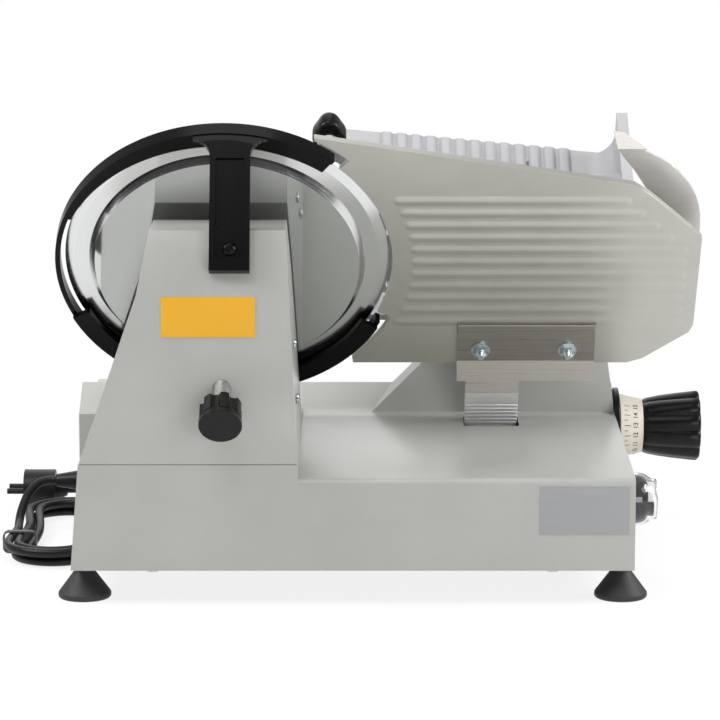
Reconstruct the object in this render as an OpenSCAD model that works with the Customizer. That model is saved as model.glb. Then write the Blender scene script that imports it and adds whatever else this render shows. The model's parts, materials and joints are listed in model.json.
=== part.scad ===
// Gravity-feed electric food slicer, about the 250 mm blade size.
// The machine frame stands on the floor: x runs along the cut, y away from the
// slice side towards the food side, z up. The blade leans over the slice side.

/* [Blade] */
// Radius of the blade
blade_r = 125; // [115:1:135]
// Lean of the blade plane from vertical, in degrees
blade_tilt = 33; // [31:0.5:35]
// Height of the blade centre above the floor
blade_h = 244; // [242:1:250]
// Sideways place of the blade centre from the middle of the base
blade_x = -97; // [-100:1:-95]
// Place of the blade centre behind the middle line
blade_y = 15; // [12:1:18]
// Thickness of the blade disc
blade_t = 3; // [2.5:0.1:4]
// Depth of the dish between rim and centre
dish = 6; // [4:0.5:7]
// Radius of the blade's centre hole
blade_bore = 28.5; // [26:0.5:30]

/* [Ring guard] */
// Radial gap between blade and ring
ring_gap = 3.5; // [3:0.5:5]
// Radial thickness of the ring
ring_t = 4; // [3:0.5:5]
// Width of the arm that carries the ring
arm_w = 30; // [24:0.5:34]
// Thickness of the arm
arm_t = 9; // [7:0.5:10]

/* [Base] */
// Width of the base casting
base_w = 422; // [416:1:440]
// Height of the base's underside above the floor
foot_h = 26; // [22:1:30]
// Height of the front wall's top edge
front_h = 96; // [92:1:100]
// Height of the deck where it meets the back wall
deck_h = 103; // [101:1:106]
// Height of the ramp's back edge behind the deck
back_h = 122; // [119:1:126]
// Height of the raised box beside the blade
hump_h = 146; // [142:1:148]
// Distance from the middle line to the front wall
front_d = 110; // [108:1:114]
// Distance from the middle line to the deck's back end
wall_d = 110; // [108:1:112]
// Distance from the middle line to the closed back
back_d = 150; // [148:1:152]
// Depth of the open rail bay behind the closed back
bay_d = 36; // [34:1:40]
// Wall thickness of the castings
wall = 4; // [3:0.5:5]
// Radius of a foot's rim
foot_r = 20; // [17:0.5:22]

/* [Column] */
// Height of the seam between base and column
seam_h = 107; // [105:1:109]
// Drop of the front crease below the blade centre
crease_drop = 10; // [6:1:14]
// Rise of the column's top above the blade centre
column_rise = 36; // [32:1:40]
// Distance that the leaning upper face goes back
lean_d = 20; // [17:1:23]
// Gap from the blade plane to the column's back
column_gap = 19; // [18:0.5:21]

/* [Gauge plate] */
// Thickness of the gauge plate
gauge_t = 5; // [4:0.5:6]
// Height of the ribs on the gauge plate
rib_h = 1.5; // [1:0.1:2]
// Number of ribs on the gauge plate
gauge_ribs = 11; // [9:1:11]
// Widest slice
slice_max = 15; // [12:0.5:15]
// Thickness of the bracket sheet
sheet_t = 2.5; // [2:0.5:3]

/* [Dial and switch] */
// Length of the ivory drum
drum_l = 19; // [16:1:22]
// Length of the dial knob
dial_knob_l = 46; // [40:1:50]
// Largest radius of the dial knob
dial_knob_r = 28; // [25:0.5:30]
// Radius of the dial shaft
dial_shaft_r = 5; // [4.5:0.5:5]
// Radius of the switch bezel
bezel_r = 18.5; // [18:0.5:20]
// Travel of a button
button_travel = 3; // [2:0.5:3.5]

/* [Carriage] */
// Depth of the food table across the cut
table_d = 240; // [225:1:250]
// Drop of the table's floor below the blade centre
table_drop = 66; // [63:1:68]
// Thickness of the table's floor
table_t = 6; // [5:0.5:7]
// Height of the table's end wall
end_wall_h = 45; // [40:1:55]
// Stroke of the carriage
stroke = 240; // [200:5:245]
// Radius of the carriage rod
rail_r = 8; // [7:0.5:9]
// Stroke of the pusher along its rod
pusher_stroke = 90; // [70:5:92]

/* [Tie rod] */
// Radius of the tie rod
tie_r = 5; // [4:0.5:5.5]
// Radius of the tie rod's knob
tie_knob_r = 16; // [14:0.5:18]
// Length of the tie rod's knob
tie_knob_l = 21; // [18:0.5:24]

/* [Fits] */
// Radial clearance of a running fit
run_gap = 0.06; // [0.03:0.01:0.1]
// Clearance between pieces that are bolted up
seat_gap = 0.1; // [0.05:0.05:0.2]
// Clearance between pieces that pass each other
pass_gap = 0.5; // [0.3:0.1:1]

/* [Cord] */
// Diameter of the mains cord
cord_dia = 7.2; // [6.8:0.1:7.2]

/* [Hidden] */
$fn = 64;
sin_t = sin(blade_tilt);
cos_t = cos(blade_tilt);
half_w = base_w / 2;
front_y = -front_d;
bay_y = back_d + bay_d;
crease_h = blade_h - crease_drop;
column_h = blade_h + column_rise;
// Ring guard
ring_in = blade_r + ring_gap;
ring_out = ring_in + ring_t;
ring_from = 51;
ring_to = 333;
ring_food = 2;
ring_slice = 8;
lip_w = 15;
lip_from = 203;
lip_t = 4;
crown_to = 158;
crown_rim = 0.4;
crown_shift = 9;
crown_mid = 75;
crown_from = 5.5;
crown_slice = 10.5;
arm_off = 6;
arm_low = 17;
arm_flare = 13;
arm_rim = 4.5;
arm_hollow = 2;
arm_foot = 10;
// Base: ramp behind the deck, raised box and its slope, draft of the left wall
ramp_r = 60;
ramp_y = wall_d - 2;
ramp_a = atan((back_h - deck_h) / (back_d - ramp_y));
hump_left = 13;
hump_slope = hump_h - deck_h;
hump_right = half_w - 6;
left_draft = 6.5;
side_box_w = 10.5;
side_box_h = 30;
ledge_h = 42;
cheek_w = 12;
cheek_h = 118;
// Column: half widths at the seam, the crease and the top
seam_left = blade_x - 107;
seam_right = blade_x + 56;
crease_left = blade_x - 63;
crease_right = blade_x + 50;
top_left = blade_x - 54;
top_right = blade_x + 47;
lean = atan(lean_d / (column_h - crease_h));
shell = 3;
// Blade group: distances from the blade's edge plane towards the slice side
hub_face = dish + blade_t;
hub_flange_t = 6;
hub_flange_r = 42;
hub_shaft_r = 12.5;
plate_at = column_gap + shell + 0.02;
plate_t = 5;
bearing_r = 23.5;
bearing_l = 11;
housing_l = 26;
pulley_at = plate_at + plate_t + housing_l + 2;
pulley_l = 14;
pulley_r = 42;
motor_pulley_r = 9;
motor_at = pulley_at + pulley_l + 11;
motor_l = 82;
motor_r = 42;
motor_clear = 13;
// The motor hangs as low as the bottom plate allows
motor_drop = (blade_h - foot_h - 2 - motor_clear - (motor_at + motor_l) * sin_t) / cos_t - motor_r;
pillar_r = 4;
pillar_off = 38;
belt_t = 3;
// Tie rod: the front wall as met along the blade axis, and the knob's end
tie_wall = (blade_y + front_d) / cos_t;
tie_end = tie_wall + 38;
// Gauge plate outline, along the cut and up the blade plane
gauge_pts = [[68, 123.5], [310, 78], [323, 68], [361, 30], [365, 24], [364, -65], [361, -73],
    [326, -101], [314, -105.6], [97, -105.6]];
gauge_gap = 2.5;
ring_clear = 6;
rib_pitch = 12.35;
rib_w = 8.4;
bolt_at = [197.6, 266];
bolt_drop = 89;
bolt_r = 3;
bracket_from = 179;
bracket_to = 287.5;
bracket_top = -62;
bracket_bend = -102;
flange_l = 17;
tongue_l = 10;
post_from = 186;
post_to = 228;
post_back = gauge_t + 4;
post_front = gauge_t + (flange_l + tongue_l) * sin_t;
// Guide rod: the point that it passes below the deck, and its reach to both sides
guide = in_blade(98, 79);
guide_r = 6;
guide_back = guide[1] - 54;
guide_front = guide[1] + 68;
carrier_top = guide[0] + 10;
riser_top = guide[0] + 20;
carrier_low = guide[0] - 24;
carrier_back = guide[1] - 20;
carrier_front = guide[1] + 20;
// Dial on the right wall, and its cam
dial_y = wall_d + 18;
dial_h = 90;
collar_t = 4;
collar_r = 31;
drum_at = half_w + collar_t + pass_gap;
knob_at = drum_at + drum_l;
knob_end = knob_at + dial_knob_l;
dial_turn = 300;
dial_w = in_blade(dial_y, dial_h)[0];
dial_s = in_blade(dial_y, dial_h)[1];
cam_r = dial_shaft_r + 0.8;
cam_x = blade_x + 232;
cam_t = 10;
pin_r = 4;
// Switch on the right wall
switch_y = -60;
switch_h = 70;
bezel_l = 12;
// Carriage
rail_y = back_d + 18;
rail_h = 95;
slider_x = 125;
slider_l = 80;
bush_t = 3;
table_left = 85;
table_right = 322;
table_near = 8;
table_short = 205;
end_wall_t = 9;
fillet_r = 23;
table_low = -table_drop - table_t;
end_top = end_wall_h - table_drop;
table_ribs = 13;
table_pitch = 12.25;
table_rib_w = 5;
table_rib_h = 2;
guard_at = 22;
guard_t = 1.5;
guard_right = 366;
guard_top = 91;
// Pusher: rod beside the end wall, knob at the free end
pivot_u = 300;
pivot_w = -45;
pivot_r = 6;
sleeve_r = 9;
sleeve_rim = 2;
lug_t = 6;
lug_near = 14;
hub_near = 24;
hub_l = 22;
pusher_far = hub_near + hub_l + pusher_stroke;
pusher_at = 28;
pusher_t = 6;
pusher_left = 114;
pusher_right = 252;
pusher_top = 24;
grip_u = 79;
grip_w = 86;
// Middle of the object's box, without the cord
x_lo = blade_x - ring_out;
x_hi = knob_end;
y_lo = blade_y - tie_end * cos_t - tie_knob_r * sin_t;
y_hi = blade_y + table_d * cos_t - table_low * sin_t;
middle = [(x_lo + x_hi) / 2, (y_lo + y_hi) / 2];
// Feet, front pair and rear pair
foot_places = [[-half_w + 8.5, front_y + 25], [half_w - 8.5, front_y + 25],
    [-half_w + 41, back_d + 10], [half_w - 41, back_d + 10]];
foot_stud_r = 4;
foot_post_r = 8;
screw_places = [[-150, front_y + wall + 6], [150, front_y + wall + 6],
    [-150, back_d - wall - 6], [150, back_d - wall - 6]];
// Cord: the loose run out of the gland, the hank and the tail to the plug
cord_r = cord_dia / 2;
gland_l = 22;
gland_x = -half_w - side_box_w;
gland_y = 140;
gland_h = 42;
hank_at = [-236, 100];
hank_run = 122;
hank_in = 22;
hank_pitch = 8;
hank_draw = 4;
hank_low = 5;
hank_step = 7.8;
hank_turn_back = 2.14;
hank_start = 0.1607;
hank_end = 3.78;
hank_rings = 24;
run_share = 0.28;
arc_share = 0.5 - run_share;
end_gap = 0.02;
run_points = concat([[-243.5 - end_gap, 140, 42], [-250, 140, 42], [-258.5, 137, 39.5], [-265.5, 128, 32.5],
    [-269.5, 115, 22.5], [-270.6, 104.5, 15.5]], hank_lead(0, -[5, end_gap]));
tail_points = concat(hank_lead(1, [end_gap, 10]), [[-202.5, 190, 6], [-208, 203, 9], [-217, 212.5, 13],
    [-225, 217, 16.5], [-232, 218, 18], [-241 + end_gap, 218, 18]]);
plug_at = [-241, 218, 18];

function arc(cx, cy, r, from, to, steps = 8) =
    [for (i = [0:steps]) [cx + r * cos(from + (to - from) * i / steps),
        cy + r * sin(from + (to - from) * i / steps)]];
// Distances up the blade plane and out to its slice side, for a place y and a height h
function in_blade(y, h) = [-(y - blade_y) * sin_t + (h - blade_h) * cos_t,
    -(y - blade_y) * cos_t - (h - blade_h) * sin_t];
// Depth of the plane at distance s on the slice side of the blade, at height h
function plane_y(s, h) = blade_y - (h - blade_h + s * sin_t) / cos_t * sin_t - s * cos_t;
// Point on the table's underside at distance n on the food side
function under(n) = [blade_y + n * cos_t - table_low * sin_t, blade_h + n * sin_t + table_low * cos_t];

module place() translate([-middle[0], -middle[1], 0]) children();
// Blade frame: x along the cut, y up the blade plane, z to the slice side
module at_blade() place() translate([blade_x, blade_y, blade_h]) rotate([90 + blade_tilt, 0, 0])
    children();
// Table frame: x along the cut, y to the food side, z up the blade plane
module at_table() place() translate([blade_x, blade_y, blade_h]) rotate([blade_tilt, 0, 0])
    children();
module along_x(x0, x1) translate([x0, 0, 0]) rotate([90, 0, 90]) linear_extrude(x1 - x0) children();
module along_y(y0, y1) translate([0, y1, 0]) rotate([90, 0, 0]) linear_extrude(y1 - y0) children();
module rod_x(x0, x1, r) translate([x0, 0, 0]) rotate([0, 90, 0]) cylinder(r = r, h = x1 - x0);
module rod_y(y0, y1, r) translate([0, y0, 0]) rotate([-90, 0, 0]) cylinder(r = r, h = y1 - y0);
module rod_z(z0, z1, r) translate([0, 0, z0]) cylinder(r = r, h = z1 - z0);
module tube_z(z0, z1, r, hole) difference() {
    rod_z(z0, z1, r);
    rod_z(z0 - 1, z1 + 1, hole);
}
module box(x0, x1, y0, y1, z0, z1) translate([x0, y0, z0]) cube([x1 - x0, y1 - y0, z1 - z0]);
// Lobed hand knob between two heights, with scallops round its rim
module lobed(z0, z1, r, lobes, cut = 0.45) difference() {
    rod_z(z0, z1, r);
    for (i = [0:lobes - 1]) rotate(i * 360 / lobes) translate([r * (0.8 + cut), 0, 0])
        rod_z(z0 - 1, z1 + 1, r * cut);
}

module base_outside() {
    intersection() {
        along_x(-half_w, seam_right) polygon([[front_y, foot_h], [front_y, seam_h],
            [ramp_y + (seam_h - deck_h) / tan(ramp_a), seam_h], [back_d, back_h], [back_d, foot_h]]);
        along_y(front_y, back_d) polygon([[-half_w, foot_h], [-half_w + left_draft, seam_h],
            [-half_w + left_draft, back_h], [seam_right, back_h], [seam_right, foot_h]]);
    }
    along_x(seam_right, half_w) polygon(concat([[front_y, foot_h]],
        arc(front_y + 5, front_h - 5, 5, 180, 90, 4),
        arc(ramp_y - ramp_r * tan(ramp_a / 2), deck_h + ramp_r, ramp_r, -90, ramp_a - 90, 6),
        [[back_d, back_h], [back_d, foot_h]]));
    along_y(wall_d, back_d) polygon([[hump_left, deck_h - wall], [hump_left, deck_h],
        [hump_left + hump_slope, hump_h], [hump_right, hump_h], [half_w, deck_h],
        [half_w, deck_h - wall]]);
    along_x(-half_w - side_box_w, -half_w + side_box_w) polygon([[wall_d, side_box_h], [wall_d, deck_h],
        [back_d, back_h], [back_d, side_box_h]]);
    box(-half_w, half_w, back_d, bay_y, foot_h, ledge_h);
    for (x = [-half_w, half_w - cheek_w]) box(x, x + cheek_w, back_d, bay_y, foot_h, cheek_h);
}
module base_inside() {
    along_x(-half_w + left_draft + wall, half_w - wall) polygon([[front_y + wall, foot_h - 1],
        [front_y + wall, front_h - wall - 2], [ramp_y, deck_h - wall],
        [back_d - wall, back_h - 1.55 * wall], [back_d - wall, foot_h - 1]]);
    along_y(wall_d + wall, back_d - wall) polygon([[hump_left + 2 * wall, deck_h - wall - 1],
        [hump_left + hump_slope + wall, hump_h - wall], [hump_right - wall, hump_h - wall],
        [half_w - 2 * wall, deck_h - wall - 1]]);
    box(seam_left + 16, seam_right - 8, front_y + wall + 2, 64, front_h - 2 * wall, seam_h + 1);
}
module guide_lugs() {
    box(blade_x + 192, blade_x + 222, back_d - wall - 14, back_d - wall + 1, 92, 128);
    box(blade_x + 192, blade_x + 222, 37, 55, foot_h + 5, deck_h - wall);
}
module base_casting() color("#abaca7") difference() {
    place() difference() {
        union() {
            difference() {
                base_outside();
                base_inside();
            }
            for (p = foot_places) translate(p) rod_z(foot_h, ledge_h, foot_post_r);
            for (p = screw_places) translate(p) rod_z(foot_h + 2, foot_h + 34, 6.5);
            guide_lugs();
            translate([0, dial_y, dial_h]) rod_x(half_w - 22, half_w, 13);
        }
        for (p = foot_places) translate(p) rod_z(foot_h - 1, foot_h + 14, foot_stud_r + seat_gap);
        for (p = screw_places) translate(p) rod_z(foot_h, foot_h + 16, 2 + seat_gap);
        translate([0, dial_y, dial_h]) rod_x(half_w - 30, half_w + 1, dial_shaft_r + run_gap);
        translate([0, rail_y, rail_h]) rod_x(-half_w + 6, half_w - 6, rail_r + seat_gap);
        translate([0, gland_y, gland_h]) rod_x(gland_x - 1, gland_x + 30, 7 + seat_gap);
        translate([0, switch_y, switch_h]) rod_x(half_w - 10, half_w + 1, 12);
        translate([0, dial_y, dial_h]) rod_x(cam_x - 2, cam_x + cam_t + 2, cam_r + slice_max + 0.4);
    }
    at_blade() translate([blade_u(), guide[0], 0])
        rod_z(guide_back - pass_gap, guide_front + pass_gap, guide_r + seat_gap);
    at_blade() box(post_from - 1, post_to + 1, carrier_top - 4, carrier_top + 40, post_back - 1,
        post_front + slice_max + 1);
}
function blade_u() = (post_from + post_to) / 2;
module bottom_plate() color("#8f918f") place() difference() {
    box(-half_w + left_draft + wall + pass_gap, half_w - wall - pass_gap,
        front_y + wall + pass_gap, back_d - wall - pass_gap, foot_h, foot_h + 2);
    for (p = foot_places) translate(p) rod_z(foot_h - 1, foot_h + 3, foot_post_r + pass_gap);
    for (p = screw_places) translate(p) rod_z(foot_h - 1, foot_h + 3, 2.5);
}
module bottom_plate_screws() color("silver") place() for (p = screw_places) translate(p) {
    rod_z(foot_h - 2.5, foot_h, 4.5);
    rod_z(foot_h - 1, foot_h + 14, 2);
}
module feet() color("#2a2a2a") place() for (p = foot_places) translate(p) {
    rotate_extrude() polygon(concat([[0, 0], [foot_r - 2, 0]],
        arc(foot_r - 2, 2, 2, -90, 0, 3), [[foot_r, 4]], [[7.5, foot_h - 5], [7.5, foot_h],
        [0, foot_h]]));
    rod_z(foot_h - 1, foot_h + 13, foot_stud_r);
}
module column_block(gap) intersection() {
    along_x(seam_left + gap, seam_right - gap) polygon([[front_y + gap, seam_h],
        [front_y + gap, crease_h - gap / 4], [front_y + lean_d + gap, column_h - gap],
        [plane_y(column_gap + gap, column_h - gap), column_h - gap],
        [plane_y(column_gap + gap, seam_h), seam_h]]);
    along_y(front_y, back_d) polygon([[seam_left + gap, seam_h], [crease_left + gap, crease_h],
        [top_left + gap, column_h], [top_right - gap, column_h], [crease_right - gap, crease_h],
        [seam_right - gap, seam_h]]);
}
arm_screw_z = arm_low + arm_foot + 7;
side_screws = [[-62, 148], [-62, 190]];
module at_lean() place() translate([blade_x, front_y, crease_h]) rotate([-lean, 0, 0]) children();
module column_cover() color("#acaca8") difference() {
    place() difference() {
        column_block(0);
        translate([0, 0, -0.01]) column_block(shell);
        for (p = side_screws) translate([0, p[0], p[1]]) rod_x(seam_right - 22, seam_right + 5, 2.6);
    }
    at_blade() rod_z(tie_wall - 30, tie_wall + 20, 7 + seat_gap);
    at_blade() rod_z(column_gap - 5, plate_at + 2, bearing_r + 3);
    at_lean() translate([arm_off, 0, arm_screw_z]) rod_y(-1, shell + 3, 2.6);
}
function side_x(h) = seam_right + (crease_right - seam_right) * (h - seam_h) / (crease_h - seam_h);
module column_cover_screws() color("silver") place() for (p = side_screws)
    translate([side_x(p[1]) + 0.3, p[0], p[1]]) {
        rod_x(0, 2, 4);
        rod_x(-10, 1, 2.5);
    }
// Crescent that thickens the ring towards its crown, in front of the blade's edge
module crown() intersection() {
    difference() {
        circle(r = ring_out + crown_rim, $fn = 128);
        translate(-crown_shift * [cos(crown_mid), sin(crown_mid)]) circle(r = ring_in, $fn = 128);
    }
    polygon([[0, 0], 300 * [cos(ring_from + 1), sin(ring_from + 1)], [300, 300], [-300, 300],
        300 * [cos(crown_to), sin(crown_to)]]);
}
// Arm outline: straight strap that flares into the ring
module arm_outline() {
    side = concat([[arm_w / 2, arm_low]], arc(arm_w / 2 + arm_flare, arm_top() - arm_flare - 9, arm_flare,
        180, 90, 6), [[arm_w / 2 + arm_flare, arm_top() + 2]]);
    polygon(concat(side, [for (i = [len(side) - 1:-1:0]) [-side[i][0], side[i][1]]]));
}
module arm_strap(y0, y1) translate([arm_off, 0, 0]) along_y(y0, y1) arm_outline();
module ring_guard() color("#1b1b1c") {
    at_blade() {
        rotate(ring_from) rotate_extrude(angle = ring_to - ring_from, $fn = 128)
            translate([ring_in, -ring_food]) square([ring_t, ring_food + ring_slice]);
        translate([0, 0, crown_from]) linear_extrude(crown_slice - crown_from) crown();
        rotate(lip_from) rotate_extrude(angle = ring_to - 1.5 - lip_from, $fn = 128)
            translate([ring_out - lip_w, ring_slice - 1]) square([lip_w - crown_rim, lip_t + 1]);
    }
    difference() {
        intersection() {
            at_lean() arm_strap(-arm_t, -0.02);
            at_blade() rod_z(-50, 200, ring_out - crown_rim);
        }
        at_lean() translate([arm_off, 0, 0]) box(-arm_w / 2 + arm_rim, arm_w / 2 - arm_rim, -arm_t - 1,
            -arm_t + arm_hollow, arm_low + arm_foot, arm_top() - 24);
        at_lean() translate([arm_off, 0, arm_screw_z]) rod_y(-arm_t - 1, 1, 2.6);
        at_blade() rod_z(-50, crown_from - 1, ring_in);
    }
}
// Length of the arm up to the ring's outer edge
function arm_top() = (blade_h + ring_out * cos_t - ring_slice * sin_t - crease_h) / cos(lean);
module ring_guard_screw() color("#151515") at_lean() translate([arm_off, 0, arm_screw_z]) {
    translate([0, -arm_t + arm_hollow, 0]) rotate([90, 0, 0]) cylinder(r1 = 6, r2 = 3, h = 3);
    rod_y(-arm_t + arm_hollow - 1, shell + 6, 2.5);
}
function motor_pillars() = [for (a = [-1, 1], b = [-1, 1]) [a * pillar_off, -motor_drop + b * pillar_off]];
module drive_frame() color("#b9bbb8") at_blade() {
    difference() {
        box(-43, 43, -motor_drop - 43, 40, plate_at, plate_at + plate_t);
        rod_z(plate_at - 1, plate_at + plate_t + 1, bearing_r + 3);
    }
    for (p = motor_pillars()) translate(p) rod_z(plate_at + plate_t - 1, motor_at, pillar_r);
}
module bearing_housing() color("#a5a7a5") at_blade() difference() {
    union() {
        rod_z(plate_at + plate_t, plate_at + plate_t + 5, 38);
        rod_z(plate_at + plate_t, plate_at + plate_t + housing_l, bearing_r + 6);
    }
    rod_z(plate_at, pulley_at, bearing_r + seat_gap);
}
module bearings() color("silver") at_blade() for (z = [0, housing_l - bearing_l])
    tube_z(plate_at + plate_t + z, plate_at + plate_t + z + bearing_l, bearing_r, hub_shaft_r + run_gap);
blade_bolts = [for (i = [0:3]) 35.5 * [cos(45 + 90 * i), sin(45 + 90 * i)]];
module blade_hub() color("#9a9c9b") at_blade() difference() {
    union() {
        rod_z(dish + 0.5, hub_face + 1, blade_bore - seat_gap);
        rod_z(hub_face, hub_face + hub_flange_t, hub_flange_r);
        rod_z(hub_face, pulley_at + pulley_l, hub_shaft_r);
        rod_z(pulley_at, pulley_at + pulley_l, pulley_r);
    }
    rod_z(0, pulley_at + pulley_l + 1, tie_r + 1);
    for (p = blade_bolts) translate(p) rod_z(dish, hub_face + hub_flange_t + 1, 2.5 + seat_gap);
}
module blade() color("#d4d6d6") at_blade() difference() {
    rotate_extrude($fn = 192) polygon([[blade_bore, hub_face], [blade_r - 23, hub_face],
        [blade_r - 18.5, blade_t + 0.2], [blade_r - 7, blade_t - 0.2], [blade_r, 0.3], [blade_r, 0],
        [blade_r - 19, 0], [blade_r - 25, dish], [blade_bore, dish]]);
    for (p = blade_bolts) translate(p) rod_z(0, hub_face + 1, 2.5 + seat_gap);
}
module blade_screws() color("silver") at_blade() for (p = blade_bolts) translate(p) {
    rod_z(dish - 0.8, dish, 4.5);
    rod_z(dish - 0.5, hub_face + hub_flange_t - 1, 2.5);
}
module blade_cover() color("#c4c6c4") at_blade() difference() {
    rod_z(0.5, dish - 1.4, blade_r - 28);
    rod_z(1.8, dish, tie_r + run_gap);
}
module motor_body() color("#3b4148") at_blade() translate([0, -motor_drop, 0]) difference() {
    union() {
        box(-43, 43, -43, 43, motor_at, motor_at + 4);
        rod_z(motor_at, motor_at + motor_l, motor_r);
    }
    rod_z(motor_at - 1, motor_at + motor_l - 8, 6 + run_gap);
}
module motor_rotor() color("silver") at_blade() translate([0, -motor_drop, 0]) {
    rod_z(pulley_at, motor_at + motor_l - 12, 6);
    rod_z(pulley_at, pulley_at + pulley_l, motor_pulley_r);
}
// Open belt round two circles, the small one below the large one
function belt_loop(big, small) = let (open = acos((big - small) / motor_drop)) concat(
    arc(0, 0, big, -90 + open, 270 - open, 40), arc(0, -motor_drop, small, -90 - open, -90 + open, 16));
module drive_belt() color("#1d1d1d") at_blade() translate([0, 0, pulley_at + 2])
    linear_extrude(pulley_l - 4) difference() {
        polygon(belt_loop(pulley_r + pass_gap + belt_t, motor_pulley_r + pass_gap + belt_t));
        polygon(belt_loop(pulley_r + pass_gap, motor_pulley_r + pass_gap));
    }
module tie_rod() color("silver") at_blade() rod_z(2.2, tie_end - 5, tie_r);
module tie_rod_sleeve() color("silver") at_blade() difference() {
    union() {
        rod_z(tie_wall - 12, tie_wall + 6, 7);
        translate([0, 0, tie_wall + 6]) cylinder(r1 = 7, r2 = 8.5, h = 11 - pass_gap);
    }
    rod_z(tie_wall - 20, tie_wall + 20, tie_r + run_gap);
}
module tie_rod_knob() color("#1e1e1e") at_blade() difference() {
    union() {
        lobed(tie_end - tie_knob_l, tie_end - 4, tie_knob_r - 0.2, 7, 0.25);
        rod_z(tie_end - 5, tie_end, tie_knob_r);
    }
    rod_z(tie_end - tie_knob_l - 1, tie_end - 5 + seat_gap, tie_r + seat_gap);
}

module gauge_outline() difference() {
    polygon(gauge_pts);
    circle(r = blade_r + gauge_gap, $fn = 128);
    intersection() {
        circle(r = ring_out + ring_clear, $fn = 128);
        union() {
            polygon([[0, 0], 300 * [cos(ring_from - 4), sin(ring_from - 4)], [0, 300]]);
            polygon([[0, 0], [0, -300], 300 * [cos(ring_to + 3), sin(ring_to + 3)]]);
        }
    }
}
rib_top = (gauge_ribs - 1) / 2 * rib_pitch;
module gauge_rib(i) {
    rib_y = rib_top - i * rib_pitch;
    rib_left = sqrt(pow(blade_r + 21, 2) - pow(rib_y, 2));
    rib_right = min(351, 305 + 11.5 * i);
    translate([0, rib_y, gauge_t - 0.5]) linear_extrude(rib_h + 0.5) {
        translate([rib_left, -rib_w / 2]) square([rib_right - rib_left, rib_w]);
        for (x = [rib_left, rib_right]) translate([x, 0]) circle(d = rib_w);
    }
}
module gauge_plate() color("#a3a39f") at_blade() difference() {
    union() {
        linear_extrude(gauge_t) gauge_outline();
        for (i = [0:gauge_ribs - 1]) gauge_rib(i);
    }
    for (u = bolt_at) translate([u, -bolt_drop, 0]) {
        rod_z(-1, gauge_t + 1, bolt_r + seat_gap);
        rod_z(-1, 2.2, 5.6);
    }
    box(bracket_from - 1, bracket_to + 1, -200, bracket_top + 1, gauge_t, gauge_t + rib_h + 1);
}
// The bracket sheet stands on the plate, then drops straight down from its bend
function drop(k, out) = [bracket_bend - cos_t * k + sin_t * out, gauge_t + sin_t * k + cos_t * out];
module bracket_drop(k0, k1) polygon([drop(k0, 0), drop(k1, 0), drop(k1, sheet_t), drop(k0, sheet_t)]);
module gauge_bracket() color("#8b8983") at_blade() difference() {
    union() {
        along_x(bracket_from, bracket_to) {
            polygon([[bracket_top, gauge_t], [bracket_bend, gauge_t], drop(1, sheet_t),
                [bracket_bend + 1, gauge_t + sheet_t], [bracket_top, gauge_t + sheet_t]]);
            bracket_drop(0, flange_l);
        }
        along_x(post_from, post_to) bracket_drop(flange_l - 1, flange_l + tongue_l);
    }
    for (u = bolt_at) translate([u, -bolt_drop, 0]) rod_z(0, gauge_t + sheet_t + 1, bolt_r + seat_gap);
}
nut_at = gauge_t + sheet_t + 1.5;
module gauge_bolts() color("silver") at_blade() for (u = bolt_at) translate([u, -bolt_drop, 0]) {
    rod_z(0.2, 2, 5.4);
    rod_z(1, nut_at + 5, bolt_r);
}
module gauge_nuts() color("silver") at_blade() for (u = bolt_at) translate([u, -bolt_drop, 0])
    difference() {
        union() {
            rod_z(nut_at - 1.5, nut_at, 7.5);
            translate([0, 0, nut_at - 0.1]) cylinder(r = 6, h = 5, $fn = 6);
            rod_z(nut_at + 4, nut_at + 6.5, 4.6);
            translate([0, 0, nut_at + 6.4]) cylinder(r1 = 4.6, r2 = 2.4, h = 2);
        }
        rod_z(nut_at - 2, nut_at + 5.2, bolt_r + seat_gap);
    }
module gauge_post() color("#cfd2d2") at_blade() along_x(post_from, post_to) polygon([
    [carrier_top, post_back], [carrier_top, post_front], drop(flange_l + tongue_l, 0), drop(flange_l, 0),
    [drop(flange_l, 0)[0], post_back]]);
pin_s = dial_s + cam_r + pin_r + 0.4;
module gauge_carrier() color("#a8aaa8") at_blade() difference() {
    union() {
        box(post_from + 1, post_to - 1, carrier_low, carrier_top, carrier_back, carrier_front);
        box(post_from + 1, post_to - 1, carrier_top - 1, riser_top, post_front + pass_gap, carrier_front);
        box(post_to - 13, post_to - 1, dial_w - 8, dial_w + 8, pin_s - pin_r - 1, carrier_back + 2);
        translate([0, dial_w, pin_s]) rod_x(post_to - 2, cam_x + blade_gap() + cam_t + 2, pin_r);
    }
    translate([blade_u(), guide[0], 0]) rod_z(carrier_back - 30, carrier_front + 1, guide_r + run_gap);
}
function blade_gap() = -blade_x;
module gauge_guide_rod() color("silver") at_blade() translate([blade_u(), guide[0], 0])
    rod_z(guide_back, guide_front, guide_r);
module at_dial() place() translate([0, dial_y, dial_h]) children();
module dial_collar() color("#1c1c1c") at_dial() difference() {
    rod_x(half_w, half_w + collar_t, collar_r);
    rod_x(half_w - 1, half_w + collar_t + 1, dial_shaft_r + run_gap);
}
module dial_shaft() color("silver") at_dial() rod_x(cam_x, knob_at + 30, dial_shaft_r);
cam_from = -25;
module dial_cam() color("#b7b08f") at_dial() difference() {
    along_x(cam_x, cam_x + cam_t) polygon([for (a = [cam_from:5:dial_turn])
        (cam_r + slice_max * max(a, 0) / dial_turn)
            * [cos(180 + blade_tilt - a), sin(180 + blade_tilt - a)]]);
    rod_x(cam_x - 1, cam_x + cam_t + 1, dial_shaft_r + seat_gap);
}
module dial_drum() color("#e9e4d2") at_dial() difference() {
    translate([drum_at, 0, 0]) rotate([0, 90, 0]) cylinder(r1 = 26, r2 = 21.5, h = drum_l);
    rod_x(drum_at - 1, knob_at + 1, dial_shaft_r + seat_gap);
}
dial_flutes = 12;
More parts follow.
